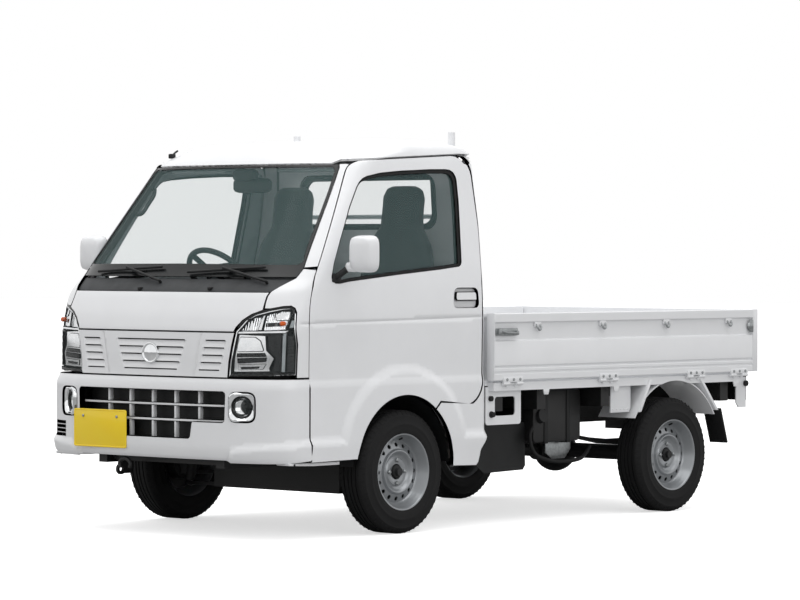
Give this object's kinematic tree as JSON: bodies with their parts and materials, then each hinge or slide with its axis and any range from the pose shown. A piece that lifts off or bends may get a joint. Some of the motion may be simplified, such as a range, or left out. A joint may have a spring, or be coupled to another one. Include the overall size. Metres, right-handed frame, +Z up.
{
  "type": "kei truck",
  "caption": "Small cab-over pickup truck with a hollow two-seat cab, opening doors and hood, a flat load bed with drop-down gates, steering and rolling wheels.",
  "frame": {"origin": "on the ground below the middle of the truck's length and width", "axes": "+X forward, +Y to the vehicle's left, +Z up"},
  "size_m": [3.395, 1.805, 1.765],
  "materials": {
    "body_paint": "gloss white enamel",
    "frame_paint": "satin black chassis paint",
    "cast_metal": "rough",
    "steel_wheel": "silver",
    "tyre_rubber": "matt",
    "black_plastic": "grained",
    "interior_plastic": "grained grey",
    "seat_fabric": "woven",
    "clear_glass": "clear, light green tint",
    "lamp_lens": "clear",
    "red_lens": "clear red",
    "plate_yellow": "gloss yellow",
    "bare_steel": "dull"
  },
  "bodies": {
    "chassis": {"frame": "frame_paint", "front_suspension": "frame_paint", "rear_axle": "frame_paint", "leaf_springs": "frame_paint", "engine": "cast_metal", "propeller_shaft": "frame_paint", "exhaust": "bare_steel", "fuel_tank": "frame_paint", "battery_box": "frame_paint", "side_shields": "black_plastic", "cab_floor": "body_paint", "firewall": "body_paint", "front_pillars": "body_paint", "rear_quarters": "body_paint", "cab_back": "body_paint", "roof": "body_paint", "cab_glass": "clear_glass", "cowl": "black_plastic", "grille": "body_paint", "bumper": "body_paint", "headlights": "lamp_lens", "fog_lamps": "lamp_lens", "wipers": "black_plastic", "dashboard": "interior_plastic", "seats": "seat_fabric", "bed_frame": "body_paint", "bed_sills": "body_paint", "bed_floor": "body_paint", "headboard": "body_paint", "rear_fenders": "body_paint", "tail_lamps": "red_lens", "number_plates": "plate_yellow"},
    "hood": {"hood": "body_paint"},
    "door_left": {"door_left": "body_paint", "door_glass_left": "clear_glass", "mirror_left": "body_paint"},
    "door_right": {"door_right": "body_paint", "door_glass_right": "clear_glass", "mirror_right": "body_paint"},
    "gate_left": {"gate_left": "body_paint"},
    "gate_right": {"gate_right": "body_paint"},
    "tailgate": {"tailgate": "body_paint"},
    "steering_wheel": {"steering_wheel": "interior_plastic"},
    "steering_rods": {"steering_rods": "frame_paint"},
    "knuckle_left": {"knuckle_left": "frame_paint"},
    "knuckle_right": {"knuckle_right": "frame_paint"},
    "wheel_front_left": {"tyre_front_left": "tyre_rubber", "rim_front_left": "steel_wheel"},
    "wheel_front_right": {"tyre_front_right": "tyre_rubber", "rim_front_right": "steel_wheel"},
    "wheel_rear_left": {"tyre_rear_left": "tyre_rubber", "rim_rear_left": "steel_wheel"},
    "wheel_rear_right": {"tyre_rear_right": "tyre_rubber", "rim_rear_right": "steel_wheel"}
  },
  "joints": [
    {"name": "door_left_hinge", "type": "hinge", "parent": "chassis", "child": "door_left", "pos_m": [1.4525, 0.732, 0.535], "axis": [0, 0, -1], "range_deg": [0, 65]},
    {"name": "door_right_hinge", "type": "hinge", "parent": "chassis", "child": "door_right", "pos_m": [1.4525, -0.732, 0.535], "axis": [0, 0, 1], "range_deg": [0, 65]},
    {"name": "hood_hinge", "type": "hinge", "parent": "chassis", "child": "hood", "pos_m": [1.5665, 0, 1.041], "axis": [0, -1, 0], "range_deg": [0, 50]},
    {"name": "gate_left_hinge", "type": "hinge", "parent": "chassis", "child": "gate_left", "pos_m": [-0.6445, 0.742, 0.632], "axis": [-1, 0, 0], "range_deg": [0, 178]},
    {"name": "gate_right_hinge", "type": "hinge", "parent": "chassis", "child": "gate_right", "pos_m": [-0.6445, -0.742, 0.632], "axis": [1, 0, 0], "range_deg": [0, 178]},
    {"name": "tailgate_hinge", "type": "hinge", "parent": "chassis", "child": "tailgate", "pos_m": [-1.6905, 0, 0.632], "axis": [0, -1, 0], "range_deg": [0, 178]},
    {"name": "steering_wheel_turn", "type": "hinge", "parent": "chassis", "child": "steering_wheel", "pos_m": [0.9035, -0.34, 1.096], "axis": [-0.766, 0, 0.6428], "range_deg": [-560, 560]},
    {"name": "steer_left", "type": "hinge", "parent": "chassis", "child": "knuckle_left", "pos_m": [0.8555, 0.5905, 0.17], "axis": [0, -0.1961, 0.9806], "range_deg": [-35.5, 35.5]},
    {"name": "steer_right", "type": "hinge", "parent": "chassis", "child": "knuckle_right", "pos_m": [0.8555, -0.5905, 0.17], "axis": [0, 0.1961, 0.9806], "range_deg": [-35.5, 35.5]},
    {"name": "steering_rods_slide", "type": "slide", "parent": "chassis", "child": "steering_rods", "axis": [0, 1, 0], "range_m": [-0.076, 0.076]},
    {"name": "wheel_front_left_spin", "type": "hinge", "parent": "knuckle_left", "child": "wheel_front_left", "pos_m": [0.8555, 0.6525, 0.268], "axis": [0, 1, 0], "continuous": true},
    {"name": "wheel_front_right_spin", "type": "hinge", "parent": "knuckle_right", "child": "wheel_front_right", "pos_m": [0.8555, -0.6525, 0.268], "axis": [0, 1, 0], "continuous": true},
    {"name": "wheel_rear_left_spin", "type": "hinge", "parent": "chassis", "child": "wheel_rear_left", "pos_m": [-1.0495, 0.65, 0.268], "axis": [0, 1, 0], "continuous": true},
    {"name": "wheel_rear_right_spin", "type": "hinge", "parent": "chassis", "child": "wheel_rear_right", "pos_m": [-1.0495, -0.65, 0.268], "axis": [0, 1, 0], "continuous": true}
  ],
  "couplings": [
    {"joint": "steer_left", "follows": "steering_wheel_turn", "ratio": 0.0625},
    {"joint": "steer_right", "follows": "steering_wheel_turn", "ratio": 0.0625},
    {"joint": "steering_rods_slide", "follows": "steering_wheel_turn", "m_per_rad": -0.0076735}
  ]
}
